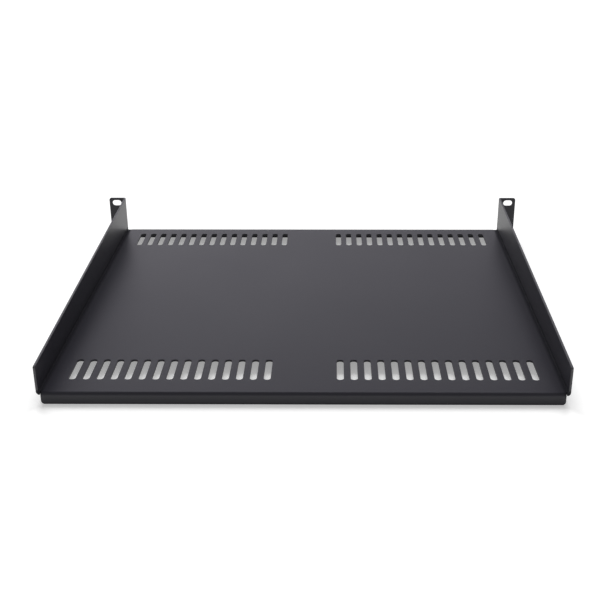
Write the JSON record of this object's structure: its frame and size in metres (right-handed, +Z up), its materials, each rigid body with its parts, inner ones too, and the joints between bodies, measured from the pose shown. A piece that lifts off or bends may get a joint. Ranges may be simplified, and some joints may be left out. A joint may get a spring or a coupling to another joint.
{
  "type": "cantilever rack shelf",
  "caption": "Vented cantilever shelf for a 19 inch equipment rack, folded from one steel sheet with sloping side walls and mounting ears.",
  "frame": {"origin": "middle of the four ear slots, on the ears' rail-side face", "axes": "+X across the rack, +Y from the shelf's free end to the ears, +Z up"},
  "size_m": [0.4826, 0.406, 0.0498],
  "materials": {
    "powder_coat": "black powder coat, fine satin texture"
  },
  "bodies": {
    "root": {"shelf_tray": "powder_coat"}
  },
  "joints": []
}
